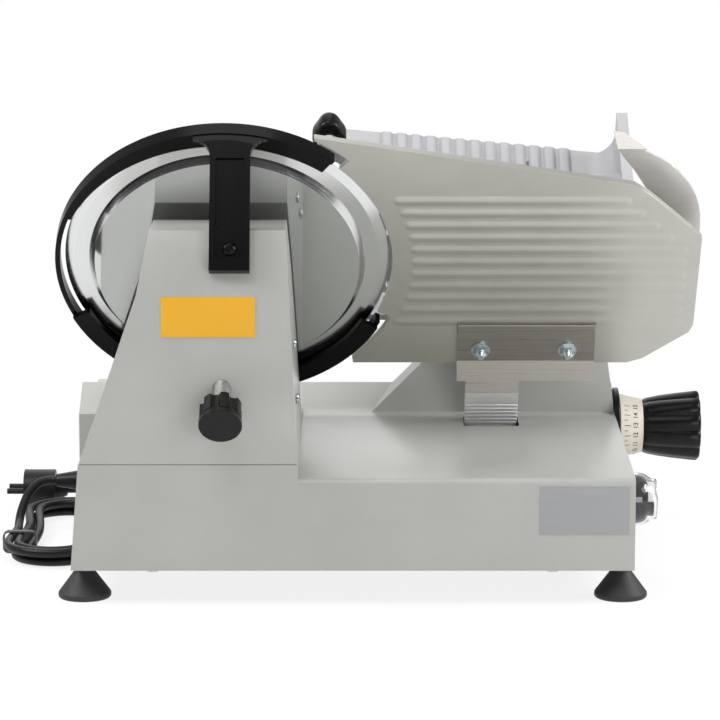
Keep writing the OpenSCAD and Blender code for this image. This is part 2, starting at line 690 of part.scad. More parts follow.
module dial_knob() color("#161616") at_dial() difference() {
    translate([knob_at, 0, 0]) rotate([0, 90, 0]) cylinder(r1 = 22, r2 = dial_knob_r, h = dial_knob_l);
    for (i = [0:dial_flutes - 1]) rotate([i * 360 / dial_flutes, 0, 0])
        translate([0, 0, dial_knob_r + 2.5]) rod_x(knob_at + 4, knob_end + 1, 5);
    rod_x(knob_at - 1, knob_at + 30 + seat_gap, dial_shaft_r + seat_gap);
}
module at_switch() place() translate([half_w, switch_y, switch_h]) rotate([0, 90, 0]) children();
module switch_bezel() color("#131313") at_switch() difference() {
    union() {
        rod_z(-8, 1, 11.5);
        rod_z(0, bezel_l, bezel_r);
        translate([0, 0, bezel_l - 0.01]) cylinder(r1 = bezel_r, r2 = bezel_r - 2, h = 3);
    }
    rod_z(1, 30, bezel_r - 3);
}
module switch_ring() color([0.85, 0.88, 0.9, 0.5]) at_switch()
    tube_z(1, bezel_l + 9, bezel_r - 3 - pass_gap / 2, bezel_r - 5);
button_r = bezel_r - 5 - pass_gap;
module half_button(side) at_switch() intersection() {
    rod_z(1.5 + button_travel, bezel_l + 5, button_r);
    translate([side > 0 ? -40 : 0.5, -20, 0]) cube([39.5, 40, 30]);
}
module start_button() color("#e8e8e6") half_button(1);
module stop_button() color("#1a1a1a") half_button(-1);

module carriage_rod() color("silver") place() translate([0, rail_y, rail_h])
    rod_x(-half_w + 6.5, half_w - 6.5, rail_r);
module carriage_track() color("#9fa1a0") place()
    box(-half_w + cheek_w, half_w - cheek_w, back_d + 8, back_d + 18, ledge_h, ledge_h + 16);
module carriage_slider() color("#a9aba9") place() difference() {
    union() {
        box(slider_x - slider_l / 2, slider_x + slider_l / 2, back_d + 3, bay_y - 3, 80, 112);
        box(slider_x - 25, slider_x + 25, back_d + 24, bay_y - 3, ledge_h + 4, 81);
    }
    translate([0, rail_y, rail_h]) rod_x(slider_x - 50, slider_x + 50, rail_r + bush_t + seat_gap);
}
module carriage_bushes() color("#b08d4f") place() translate([0, rail_y, rail_h])
    for (x = [slider_x - slider_l / 2, slider_x + slider_l / 2 - 20]) difference() {
        rod_x(x, x + 20, rail_r + bush_t);
        rod_x(x - 1, x + 21, rail_r + run_gap);
    }
module glide_pad() color("#e6e3da") place()
    box(slider_x - 22, slider_x + 22, back_d + 18 + pass_gap, back_d + 24, ledge_h + 5, ledge_h + 15);
module carriage_arm() color("#aeb0ad") place() difference() {
    along_x(slider_x - 20, slider_x + 20) polygon([[back_d + 6, 112], [bay_y - 4, 112],
        [bay_y, under(160)[1] - 40], under(160), under(110), [back_d + 3, under(110)[1] - 24]]);
    translate([slider_x, 0, lock_h]) rod_y(bay_y - 16, bay_y + 1, 4 + run_gap);
}
lock_h = 152;
module food_table() color("#b4b2af") at_table() difference() {
    union() {
        translate([0, 0, table_low]) linear_extrude(table_t) polygon([[table_left, table_near],
            [table_right, table_near], [table_right, table_short], [table_left, table_d]]);
        for (i = [0:table_ribs - 1]) translate([125 + table_pitch * i - table_rib_w / 2, table_near + 12,
            -table_drop - 1]) cube([table_rib_w, table_short - table_near - 20, table_rib_h + 1]);
        along_y(table_near + 4, table_short) polygon(concat([[table_right - end_wall_t - fillet_r,
            table_low + 1]], arc(table_right - end_wall_t - fillet_r, fillet_r - table_drop, fillet_r,
            -90, 0), [[table_right - end_wall_t, end_top], [table_right, end_top],
            [table_right, table_low + 1]]));
        for (n = [lug_near, pusher_far]) box(pivot_u - 10, table_right - 2, n, n + lug_t, pivot_w - 12,
            pivot_w + 11);
    }
    translate([pivot_u, 0, pivot_w]) rod_y(0, table_short, pivot_r + seat_gap);
}
module guard_outline() polygon(concat([[table_right, -60], [table_right, 52], [table_right - 10, 70],
    [table_right - 23.5, guard_top - 1], [table_right - 23.5, guard_top]],
    arc(guard_right - 80, guard_top - 75, 80, 70, 0, 10), [[guard_right, -50], [guard_right - 10, -60]]));
module hand_guard() color("#c5c4c0") at_table() {
    along_y(guard_at, guard_at + guard_t) guard_outline();
    box(table_right, table_right + guard_t, guard_at, guard_at + 40, -55, end_top - 4);
    translate([table_right - 23.5, guard_at, guard_top - guard_t]) linear_extrude(guard_t)
        polygon([[0, 0], [-2, 22], [6, 20], [22, 0]]);
}
module carriage_grip() color("#1b1b1b") at_table() {
    translate([guard_right - 22, 0, -38]) rod_y(guard_at + 10, guard_at + 95, 12);
    for (n = [guard_at + 20, guard_at + 80]) translate([0, n, -38])
        rod_x(table_right + guard_t * (n < guard_at + 40 ? 1 : 0), guard_right - 22, 7);
}
module table_lock_knob() color("#1b1b1b") place() translate([slider_x, 0, lock_h]) {
    rod_y(bay_y - 14, bay_y + 4, 4);
    translate([0, bay_y + 2, 0]) rotate([-90, 0, 0]) lobed(0, 16, 15, 5);
}
module pusher_rod() color("silver") at_table() translate([pivot_u, 0, pivot_w])
    rod_y(lug_near, pusher_far + lug_t, pivot_r);
arm_run = [grip_u - pivot_u, grip_w - pivot_w];
arm_dir = arm_run / norm(arm_run);
arm_side = 9 * [-arm_dir[1], arm_dir[0]];
module pusher_slider() color("#c9cbca") at_table() translate([pivot_u, 0, pivot_w]) difference() {
    union() {
        rod_y(hub_near, hub_near + hub_l, sleeve_r);
        rod_y(hub_near, hub_near + sleeve_rim, sleeve_r + 2.5);
        rod_y(hub_near + hub_l - sleeve_rim, hub_near + hub_l, sleeve_r + 2.5);
    }
    rod_y(hub_near - 1, hub_near + hub_l + 1, pivot_r + run_gap);
}
module pusher_arm() color("#8f918f") at_table() difference() {
    union() {
        translate([pivot_u, 0, pivot_w]) rod_y(hub_near + sleeve_rim + pass_gap,
            hub_near + hub_l - sleeve_rim - pass_gap, sleeve_r + 3);
        along_y(pusher_at, pusher_at + pusher_t) polygon([for (e = [0, 1], f = [1, -1])
            [pivot_u, pivot_w] + e * arm_run + f * (e == 0 ? 1 : -1) * arm_side]);
        translate([grip_u, 0, grip_w]) rod_y(pusher_at, pusher_at + pusher_t, 9);
        translate([grip_u, 0, grip_w]) rod_y(pusher_at, 50, 4);
    }
    translate([pivot_u, 0, pivot_w]) rod_y(hub_near - 1, hub_near + hub_l + 1, sleeve_r + run_gap);
}
module pusher_plate() color("#b9bbb9") at_table() {
    box(pusher_left, pusher_right, pusher_at - 3, pusher_at, 8 - table_drop, pusher_top);
    for (i = [0:6], j = [0:3]) translate([pusher_left + 10 + 20 * i, pusher_at - 2.5, 18 - table_drop + 18 * j])
        rotate([90, 0, 0]) cylinder(r1 = 2.4, r2 = 0.6, h = 6);
}
module pusher_knob() color("#232324") at_table() translate([grip_u, 0, grip_w]) difference() {
    along_y(42, 57) hull() for (i = [0:2]) rotate(-90 + 120 * i) translate([10, 0]) circle(r = 6.5, $fn = 32);
    rod_y(41, 50 + seat_gap, 4 + seat_gap);
}
module yellow_decal() color("#f1b723") place()
    box(blade_x - 44.5, blade_x + 25, front_y - 0.4, front_y, crease_h - 31, crease_h - 1);
module rating_plate() color("#d9dadb") place()
    box(half_w - 71.5, half_w - 4.5, front_y - 0.4, front_y, front_h - 42, front_h - 6);

// Tube through a list of points, each ring square to the run
function unit(v) = v / norm(v);
function heading(pts, i) = let (n = len(pts) - 1)
    i == 0 ? unit(pts[1] - pts[0]) : i == n ? unit(pts[n] - pts[n - 1])
    : unit(unit(pts[i + 1] - pts[i]) + unit(pts[i] - pts[i - 1]));
function ring(pts, i, r, sides) = let (t = heading(pts, i), side = unit(cross(t, [0, 0, 1])),
    up = cross(side, t)) [for (k = [0:sides - 1]) pts[i] + r * (cos(360 * k / sides) * side
    + sin(360 * k / sides) * up)];
module tube_along(pts, r, sides) {
    n = len(pts);
    points = [for (i = [0:n - 1]) each ring(pts, i, r, sides)];
    walls = [for (i = [0:n - 2], k = [0:sides - 1]) let (a = i * sides + k,
        b = i * sides + (k + 1) % sides) each [[a, a + sides, b], [b, a + sides, b + sides]]];
    caps = [for (k = [1:sides - 2]) each [[0, k, k + 1],
        [(n - 1) * sides, (n - 1) * sides + k + 1, (n - 1) * sides + k]]];
    polyhedron(points, concat(walls, caps), convexity = 8);
}
// Hank: loops that spiral in on the upper layer, step down along a run, and spiral out below
function pinch(y) = (1 + cos(360 * y / hank_run)) / 2;
function hank_point(q) = let (f = q - floor(q), half = hank_run / 2,
    r = hank_in + hank_pitch * abs(q - hank_turn_back),
    down = max(0, min(1, (q - hank_turn_back) / (0.8 * run_share) + 0.5)),
    z = hank_low + hank_step * (1 - down * down * (3 - 2 * down)),
    ya = half - f / run_share * hank_run, yb = (f - 0.5) / run_share * hank_run - half,
    a = 180 * (f - run_share) / arc_share, b = 180 * (f - 0.5 - run_share) / arc_share)
    f < run_share ? [hank_at[0] - r + hank_draw * pinch(ya), hank_at[1] + ya, z]
    : f < 0.5 ? [hank_at[0] - r * cos(a), hank_at[1] - half - r * sin(a), z]
    : f < 0.5 + run_share ? [hank_at[0] + r - hank_draw * pinch(yb), hank_at[1] + yb, z]
    : [hank_at[0] + r * cos(b), hank_at[1] + half + r * sin(b), z];
function hank_path(rings) = let (turns = hank_end - hank_start, n = ceil(turns * rings))
    [for (i = [0:n]) hank_point(hank_start + turns * i / n)];
// Points on the line of the hank's start or end, at given distances along it
function hank_lead(end, along) = let (pts = hank_path(hank_rings), n = len(pts) - 1, p = pts[end * n],
    way = unit(pts[end * (n - 1) + 1] - pts[end * (n - 1)])) [for (k = along) p + k * way];
hank_fine = hank_path(2 * hank_rings);
hank_gap = min([for (i = [0:len(hank_fine) - 1], j = [i + 8:1:len(hank_fine) - 1])
    norm(hank_fine[i] - hank_fine[j])]) - cord_dia;
echo(hank_least_gap = hank_gap);
module cord_gland() color("#1a1a1a") place() translate([0, gland_y, gland_h]) {
    rod_x(gland_x - 3, gland_x, 10);
    rod_x(gland_x - 1, gland_x + 12, 7);
    translate([gland_x - gland_l, 0, 0]) rotate([0, 90, 0]) cylinder(r1 = 5, r2 = 8.5, h = gland_l - 2);
}
module cord_run() color("#151515") place() tube_along(run_points, cord_r, 8);
module cord_hank() color("#151515") place() tube_along(hank_path(hank_rings), cord_r, 6);
module cord_tail() color("#151515") place() tube_along(tail_points, cord_r, 8);
tie_t = 1.2;
tie_left = -42;
tie_right = -17.5;
tie_at = hank_at[1] - 40;
tie_top = hank_low + hank_step + cord_r + 0.4;
module cord_tie() color("#2b2b2b") place() translate([hank_at[0], 0, 0])
    along_y(tie_at - 6, tie_at + 6) difference() {
        translate([tie_left - tie_t, 0]) square([tie_right - tie_left + 2 * tie_t, tie_top + tie_t]);
        translate([tie_left, tie_t]) square([tie_right - tie_left, tie_top - tie_t]);
    }
module plug() color("#161616") place() translate(plug_at) rotate([0, -90, 0]) {
    cylinder(r1 = 5.5, r2 = 11, h = 11);
    rod_z(10, 36, 16.5);
    for (y = [-9.5, 9.5]) translate([0, y, 0]) rod_z(35, 50, 2.4);
}

base_casting();
bottom_plate();
bottom_plate_screws();
feet();
column_cover();
column_cover_screws();
ring_guard();
ring_guard_screw();
drive_frame();
bearing_housing();
bearings();
blade_hub();
blade();
blade_screws();
blade_cover();
motor_body();
motor_rotor();
drive_belt();
tie_rod();
tie_rod_sleeve();
tie_rod_knob();
gauge_plate();
gauge_bracket();
gauge_bolts();
gauge_nuts();
gauge_post();
gauge_carrier();
gauge_guide_rod();
dial_collar();
dial_shaft();
dial_cam();
dial_drum();
dial_knob();
switch_bezel();
switch_ring();
start_button();
stop_button();
carriage_rod();
carriage_track();
carriage_slider();
carriage_bushes();
glide_pad();
carriage_arm();
food_table();
hand_guard();
carriage_grip();
table_lock_knob();
pusher_rod();
pusher_slider();
pusher_arm();
pusher_plate();
pusher_knob();
yellow_decal();
rating_plate();
cord_gland();
cord_run();
cord_hank();
cord_tie();
cord_tail();
plug();
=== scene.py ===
import json
import math
from itertools import product

import bmesh
import bpy
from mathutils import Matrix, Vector


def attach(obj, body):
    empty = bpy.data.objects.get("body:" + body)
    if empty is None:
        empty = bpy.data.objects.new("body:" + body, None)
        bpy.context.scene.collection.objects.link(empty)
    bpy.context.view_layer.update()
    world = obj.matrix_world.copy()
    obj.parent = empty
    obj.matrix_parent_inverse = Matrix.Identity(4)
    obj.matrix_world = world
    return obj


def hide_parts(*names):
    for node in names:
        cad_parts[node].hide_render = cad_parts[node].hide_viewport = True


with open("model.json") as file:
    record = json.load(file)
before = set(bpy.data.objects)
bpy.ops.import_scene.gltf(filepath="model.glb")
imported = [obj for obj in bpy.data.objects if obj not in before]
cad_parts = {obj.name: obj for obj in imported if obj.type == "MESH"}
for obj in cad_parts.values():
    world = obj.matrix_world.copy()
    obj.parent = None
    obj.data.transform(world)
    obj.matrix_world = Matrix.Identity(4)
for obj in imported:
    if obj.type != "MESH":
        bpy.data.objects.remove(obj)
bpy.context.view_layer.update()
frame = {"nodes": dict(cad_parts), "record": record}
nodes = frame["nodes"]
print("frame loaded:", len(nodes), "nodes")

mm = 0.001
perMetre = 1000  # pattern scales count in metres
tilt = math.radians(33)  # lean of the blade plane
middle = Vector((25.5, 52.4556, 0.0))  # machine frame to this frame, in mm
bladeCentre = Vector((-97.0, 15.0, 244.0))
upBlade = Vector((0, -math.sin(tilt), math.cos(tilt)))
foodSide = Vector((0, math.cos(tilt), math.sin(tilt)))
noiseSpan = {"From Min": 0.3, "From Max": 0.7}  # where most of a noise lies


def machine(x, y, z):  # a point of the machine frame, mm in, metres out
    return (Vector((x, y, z)) - middle) * mm


def bladePoint(u, w, s):  # along the cut, up the blade, towards the slice side
    return (bladeCentre + Vector((u, 0, 0)) + upBlade * w - foodSide * s - middle) * mm


def fromBlade(point):  # metres in, mm from the blade's centre out
    return point / mm + middle - bladeCentre


def hexLinear(code):
    out = []
    for i in (0, 2, 4):
        v = int(code[i : i + 2], 16) / 255
        out.append(v / 12.92 if v <= 0.04045 else ((v + 0.055) / 1.055) ** 2.4)
    return (*out, 1.0)


def addNode(tree, kind, settings=None, links=None):
    node = tree.nodes.new(kind)
    for key, value in (settings or {}).items():
        if isinstance(key, int) or key in node.inputs:
            node.inputs[key].default_value = value
        else:
            setattr(node, key, value)
    for key, socket in (links or {}).items():
        tree.links.new(socket, node.inputs[key])
    return node


def surface(name, look):  # a material from one dictionary of shader settings
    mat = bpy.data.materials.new(name)
    mat.use_nodes = True
    shader = mat.node_tree.nodes["Principled BSDF"]
    for key, value in look.items():
        shader.inputs[key].default_value = hexLinear(value) if isinstance(value, str) else value
    return mat


def marked(mat, pattern, tone=0.0, rough=None, depthMm=0.0):  # a pattern into colour, gloss and relief
    tree = mat.node_tree
    shader = tree.nodes["Principled BSDF"]
    if tone or rough:
        level = addNode(tree, "ShaderNodeMapRange", noiseSpan, {"Value": pattern})
    if tone:  # share by which the written colour goes up and down
        colour = shader.inputs["Base Color"].default_value[:3]
        dark, light = ([c * (1 + way * tone) for c in colour] + [1.0] for way in (-1, 1))
        ends = {"data_type": "RGBA", 6: dark, 7: light}
        tint = addNode(tree, "ShaderNodeMix", ends, {0: level.outputs[0]})
        tree.links.new(tint.outputs[2], shader.inputs["Base Color"])
    if rough:
        ends = {"To Min": rough[0], "To Max": rough[1]}
        gloss = addNode(tree, "ShaderNodeMapRange", ends, {"Value": level.outputs[0]})
        tree.links.new(gloss.outputs[0], shader.inputs["Roughness"])
    if depthMm:
        bump = addNode(tree, "ShaderNodeBump", {"Distance": depthMm * mm}, {"Height": pattern})
        tree.links.new(bump.outputs["Normal"], shader.inputs["Normal"])
    return mat


def grain(mat, sizeMm, **marks):  # even speckle of a cast, moulded or sprayed surface
    tree = mat.node_tree
    place = addNode(tree, "ShaderNodeTexCoord").outputs["Object"]
    fine = {"Scale": perMetre / sizeMm, "Detail": 2.0}
    noise = addNode(tree, "ShaderNodeTexNoise", fine, {"Vector": place})
    return marked(mat, noise.outputs["Fac"], **marks)


def streaks(mat, acrossMm, lengthMm, **marks):  # brush, draw or rolling lines along the width
    tree = mat.node_tree
    place = addNode(tree, "ShaderNodeTexCoord").outputs["Object"]
    scale = (perMetre / lengthMm, perMetre / acrossMm, perMetre / acrossMm)
    drawn = addNode(tree, "ShaderNodeVectorMath", {"operation": "MULTIPLY", 1: scale}, {0: place})
    fine = {"Scale": 1.0, "Detail": 3.0}
    noise = addNode(tree, "ShaderNodeTexNoise", fine, {"Vector": drawn.outputs[0]})
    return marked(mat, noise.outputs["Fac"], **marks)


def rings(mat, centre, axis, pitchMm, **marks):  # rings left by the grinding wheel round an axis
    tree = mat.node_tree
    place = addNode(tree, "ShaderNodeTexCoord").outputs["Object"]
    take = {"operation": "SUBTRACT"}
    arm = addNode(tree, "ShaderNodeVectorMath", {**take, 1: centre}, {0: place}).outputs[0]
    along = addNode(tree, "ShaderNodeVectorMath", {"operation": "PROJECT", 1: axis}, {0: arm})
    out = addNode(tree, "ShaderNodeVectorMath", take, {0: arm, 1: along.outputs[0]})
    radius = addNode(tree, "ShaderNodeVectorMath", {"operation": "LENGTH"}, {0: out.outputs[0]})
    fine = {"noise_dimensions": "1D", "Scale": perMetre / pitchMm, "Detail": 2.0}
    noise = addNode(tree, "ShaderNodeTexNoise", fine, {"W": radius.outputs["Value"]})
    return marked(mat, noise.outputs["Fac"], **marks)


# Camera at the photograph's angle, then the light and the floor
cameraSet = {
    "place": machine(5.5, -2586.8, 622.8),
    "down": 10.0,
    "lens": 170.0,
    "sensor": 36.0,
    "reach": 50,  # metres
}
cameraData = bpy.data.cameras.new("camera")
cameraData.lens = cameraSet["lens"]
cameraData.sensor_width = cameraSet["sensor"]
cameraData.clip_end = cameraSet["reach"]
camera = bpy.data.objects.new("camera", cameraData)
camera.location = cameraSet["place"]
camera.rotation_euler = (math.radians(90 - cameraSet["down"]), 0, 0)
bpy.context.scene.collection.objects.link(camera)
bpy.context.scene.camera = camera
bpy.context.scene.view_settings.view_transform = "Standard"

studio = {
    "roomFront": 0.06,  # dark room behind the camera
    "roomBack": 0.4,  # pale backdrop, as reflections see it
    "roomBlend": 0.35,  # how far the one runs into the other
    "lamps": [
        # name, place in metres, size, watts
        ("keySoftbox", (-0.6, -1.2, 2.4), 1.5, 27),
        ("rightSoftbox", (1.8, -1.0, 1.75), 1.2, 9),
        ("lowSoftbox", (0.6, -1.5, 0.25), 0.7, 6),
        ("backSoftbox", (-0.3, 1.7, 1.2), 1.6, 11),
        ("topSoftbox", (-0.1, 0.7, 1.9), 1.2, 5),
        ("leftStrip", (-0.8, -0.25, 0.75), 0.35, 6),
        ("rightStrip", (0.85, -0.14, 0.6), 0.35, 6),
    ],
    "aim": (0, 0, 0.15),  # where every lamp points
    "floorHalf": 9,  # metres
    "floorWhite": "f4f4f4",
    "glowNear": 0.84,  # share of plain white beside the machine, so that shadows stay soft
    "glowFrom": 0.3,  # metres from the middle
    "glowTo": 0.95,
}
white = (1, 1, 1, 1)
larger = {"operation": "MAXIMUM"}
world = bpy.data.worlds.new("studio")
bpy.context.scene.world = world
world.use_nodes = True
tree = world.node_tree
tree.nodes.clear()
rays = addNode(tree, "ShaderNodeLightPath").outputs
direct = {0: rays["Is Camera Ray"], 1: rays["Is Transmission Ray"]}
seen = addNode(tree, "ShaderNodeMath", larger, direct)
way = addNode(tree, "ShaderNodeTexCoord")
split = addNode(tree, "ShaderNodeSeparateXYZ", {}, {0: way.outputs["Generated"]})
room = addNode(
    tree,
    "ShaderNodeMapRange",
    {
        "From Min": -studio["roomBlend"],
        "From Max": studio["roomBlend"],
        "To Min": studio["roomFront"],
        "To Max": studio["roomBack"],
    },
    {"Value": split.outputs["Y"]},
)
strength = addNode(
    tree,
    "ShaderNodeMix",
    {"data_type": "FLOAT", 3: 1.0},
    {"Factor": seen.outputs[0], 2: room.outputs["Result"]},
)
sky = addNode(tree, "ShaderNodeBackground", {"Color": white}, {"Strength": strength.outputs[0]})
addNode(tree, "ShaderNodeOutputWorld", {}, {"Surface": sky.outputs[0]})

for name, place, size, watts in studio["lamps"]:
    lampData = bpy.data.lights.new(name, "AREA")
    lampData.size = size
    lampData.energy = watts
    lamp = bpy.data.objects.new(name, lampData)
    lamp.location = place
    lamp.visible_camera = False
    lamp.rotation_euler = (Vector(studio["aim"]) - Vector(place)).to_track_quat("-Z", "Y").to_euler()
    bpy.context.scene.collection.objects.link(lamp)

half = studio["floorHalf"]
floorMesh = bpy.data.meshes.new("floor")
floorCorners = [(-half, -half, 0), (half, -half, 0), (half, half, 0), (-half, half, 0)]
floorMesh.from_pydata(floorCorners, [], [(0, 1, 2, 3)])
floor = bpy.data.objects.new("floor", floorMesh)
bpy.context.scene.collection.objects.link(floor)
floorMat = bpy.data.materials.new("matt white paper")  # white to the eye, with the machine's shadow
floorMat.use_nodes = True
tree = floorMat.node_tree
tree.nodes.clear()
rays = addNode(tree, "ShaderNodeLightPath").outputs
paper = addNode(tree, "ShaderNodeBsdfDiffuse", {"Color": hexLinear(studio["floorWhite"])})
glow = addNode(tree, "ShaderNodeEmission", {"Color": white, "Strength": 1.0})
direct = {0: rays["Is Camera Ray"], 1: rays["Is Transmission Ray"]}
seen = addNode(tree, "ShaderNodeMath", larger, direct)
seen = addNode(tree, "ShaderNodeMath", larger, {0: seen.outputs[0], 1: rays["Is Glossy Ray"]})
place = addNode(tree, "ShaderNodeTexCoord").outputs["Object"]
away = addNode(tree, "ShaderNodeVectorMath", {"operation": "LENGTH"}, {0: place})
grow = addNode(
    tree,
    "ShaderNodeMapRange",
    {
        "From Min": studio["glowFrom"],
        "From Max": studio["glowTo"],
        "To Min": studio["glowNear"],
        "To Max": 1.0,
    },
    {"Value": away.outputs["Value"]},
)
both = {0: grow.outputs["Result"], 1: seen.outputs[0]}
share = addNode(tree, "ShaderNodeMath", {"operation": "MULTIPLY"}, both)
sheets = {"Fac": share.outputs[0], 1: paper.outputs[0], 2: glow.outputs[0]}
mix = addNode(tree, "ShaderNodeMixShader", {}, sheets)
addNode(tree, "ShaderNodeOutputMaterial", {}, {"Surface": mix.outputs[0]})
floorMesh.materials.append(floorMat)
print("camera, light and floor set")

# Finishes, each from what the real one is and how its surface was made
finish = {}

for key, name, colour in (
    ("castEnamel", "grey stove enamel on cast aluminium", "a9aaa5"),
    ("columnEnamel", "grey stove enamel on cast column", "acaca8"),
):
    paint = surface(name, {"Base Color": colour, "Roughness": 0.3})
    grain(paint, 45, tone=0.03)  # slow drift of the sprayed colour
    finish[key] = grain(paint, 1.6, depthMm=0.012)  # satin, a faint orange peel
paint = surface("black enamel on cast ring", {"Base Color": "060606", "Specular IOR Level": 0.16})
finish["blackEnamel"] = grain(paint, 1.1, rough=(0.2, 0.28), depthMm=0.008)  # gloss with a slight peel
paint = surface("dark motor enamel", {"Base Color": "3b4148"})
finish["motorEnamel"] = grain(paint, 1.2, rough=(0.34, 0.46), depthMm=0.01)  # blue grey, half gloss

ground = (machine(*bladeCentre), foodSide)
steel = surface("polished blade steel", {"Base Color": "d6d8d8", "Metallic": 1.0})
# mirror, its rings drawn coarse so that they show
finish["bladeSteel"] = rings(steel, *ground, 0.9, tone=0.03, rough=(0.03, 0.055))
steel = surface("ground blade rim", {"Base Color": "e2e3e3", "Metallic": 1.0})
# silky band left by the stone, drawn coarse too
finish["groundSteel"] = rings(steel, *ground, 0.6, tone=0.06, rough=(0.13, 0.23))
steel = surface("turned steel", {"Base Color": "c4c6c5", "Metallic": 1.0})
finish["turnedSteel"] = grain(steel, 0.6, tone=0.05, rough=(0.22, 0.34))  # fine tool marks
steel = surface("zinc plated steel", {"Base Color": "c6d0d2", "Metallic": 0.9})
finish["zincSteel"] = grain(steel, 2.5, tone=0.08, rough=(0.14, 0.26))  # bluish, slightly cloudy
steel = surface("rolled steel", {"Base Color": "8f918f", "Metallic": 1.0})
finish["rolledSteel"] = streaks(steel, 0.8, 40, tone=0.08, rough=(0.38, 0.52))  # dull mill lines
steel = surface("brushed stainless sheet", {"Base Color": "9d9993", "Metallic": 0.8})
finish["stainless"] = streaks(steel, 1.4, 90, tone=0.12, rough=(0.26, 0.42))  # belt grain along the fold
# stainless steel's own grey, lightened and half matt: a painted reflection of the white backdrop, with a soft
# gloss of its own
steel = surface("stainless guard sheet with painted reflection", {"Base Color": "d6d3cf", "Metallic": 0.5})
finish["guardSheet"] = streaks(steel, 1.5, 60, tone=0.03, rough=(0.28, 0.4))  # soft gloss

alloy = surface("anodised cast aluminium", {"Base Color": "c2c1bb", "Metallic": 0.85, "Roughness": 0.4})
grain(alloy, 35, tone=0.03)  # slow drift of the bath
finish["gaugeAlloy"] = grain(alloy, 0.9, depthMm=0.012)  # matt, a fine blasted grain
alloy = surface("polished cast aluminium", {"Base Color": "b5b5b8", "Metallic": 0.25, "Roughness": 0.42})
grain(alloy, 30, tone=0.03)  # unevenly buffed
finish["tableAlloy"] = grain(alloy, 1.0, depthMm=0.01)  # the casting still shows
alloy = surface("plain cast aluminium", {"Base Color": "adafad", "Metallic": 0.8})
finish["castAlloy"] = grain(alloy, 1.2, tone=0.06, rough=(0.44, 0.56), depthMm=0.03)  # sandy
alloy = surface("extruded bright aluminium", {"Base Color": "efefef", "Metallic": 0.25})
finish["brightAlloy"] = streaks(alloy, 0.5, 30, tone=0.04, rough=(0.24, 0.36))  # die lines
brass = surface("machined brass", {"Base Color": "b7a268", "Metallic": 1.0})
finish["camBrass"] = grain(brass, 0.6, tone=0.06, rough=(0.24, 0.36))  # yellow, fine tool marks
bronze = surface("sintered bronze", {"Base Color": "a98449", "Metallic": 1.0})
finish["bronze"] = grain(bronze, 0.5, tone=0.1, rough=(0.38, 0.52), depthMm=0.01)  # open pores

rubber = surface("moulded black rubber", {"Base Color": "2c2c2c"})
finish["footRubber"] = grain(rubber, 0.8, rough=(0.52, 0.68), depthMm=0.01)  # matt, slightly dusty
rubber = surface("reinforced belt rubber", {"Base Color": "1d1d1d"})
finish["beltRubber"] = grain(rubber, 0.8, rough=(0.62, 0.78), depthMm=0.02)  # dead matt
plastic = surface("moulded black phenolic", {"Base Color": "0c0c0c", "Specular IOR Level": 0.25})
finish["knobPlastic"] = grain(plastic, 0.7, rough=(0.26, 0.36), depthMm=0.006)  # half gloss, mould grain
plastic = surface("gloss black ABS", {"Base Color": "080808", "Specular IOR Level": 0.35})
finish["bezelPlastic"] = grain(plastic, 1.0, rough=(0.09, 0.16), depthMm=0.002)  # clean highlights
clear = {"Base Color": "fbfcfc", "Roughness": 0.02, "Transmission Weight": 1.0, "IOR": 1.41}
plastic = surface("clear moulded silicone", clear)
finish["clearSilicone"] = grain(plastic, 5.0, depthMm=0.01)  # water clear, a faint ripple
plastic = surface("white moulded ABS", {"Base Color": "e6e6e3"})
finish["whitePlastic"] = grain(plastic, 0.8, rough=(0.25, 0.36), depthMm=0.004)  # half gloss
plastic = surface("moulded acetal", {"Base Color": "e3e0d8"})
finish["padPlastic"] = grain(plastic, 0.8, rough=(0.38, 0.5), depthMm=0.004)  # waxy
plastic = surface("ivory moulded plastic", {"Base Color": "cfc9bb"})
finish["ivoryPlastic"] = grain(plastic, 1.2, tone=0.03, rough=(0.34, 0.46), depthMm=0.003)  # eggshell
plastic = surface("black print", {"Base Color": "191919"})
finish["inkBlack"] = grain(plastic, 0.4, tone=0.15, rough=(0.45, 0.6))  # thin, slightly uneven
plastic = surface("yellow vinyl film", {"Base Color": "e4aa1e"})
# half gloss, follows the paint below
finish["yellowFilm"] = grain(plastic, 1.4, tone=0.02, rough=(0.3, 0.4), depthMm=0.003)
plastic = surface("silver polyester foil", {"Base Color": "98999a", "Metallic": 0.5})
finish["silverFoil"] = streaks(plastic, 0.7, 25, tone=0.04, rough=(0.28, 0.4))  # hairline silver
plastic = surface("black PVC sheath", {"Base Color": "101011", "Specular IOR Level": 0.3})
finish["cordSheath"] = grain(plastic, 1.0, rough=(0.36, 0.48), depthMm=0.008)  # dull sheen along the bends
plastic = surface("grey PVC tie strip", {"Base Color": "4e4e4e"})
finish["tieStrip"] = grain(plastic, 0.8, rough=(0.44, 0.56), depthMm=0.008)  # matt
paint = surface("shaded joint in cast enamel", {"Base Color": "5d5e5a"})
finish["jointShade"] = grain(paint, 1.6, tone=0.05, rough=(0.64, 0.76))  # a dark hairline

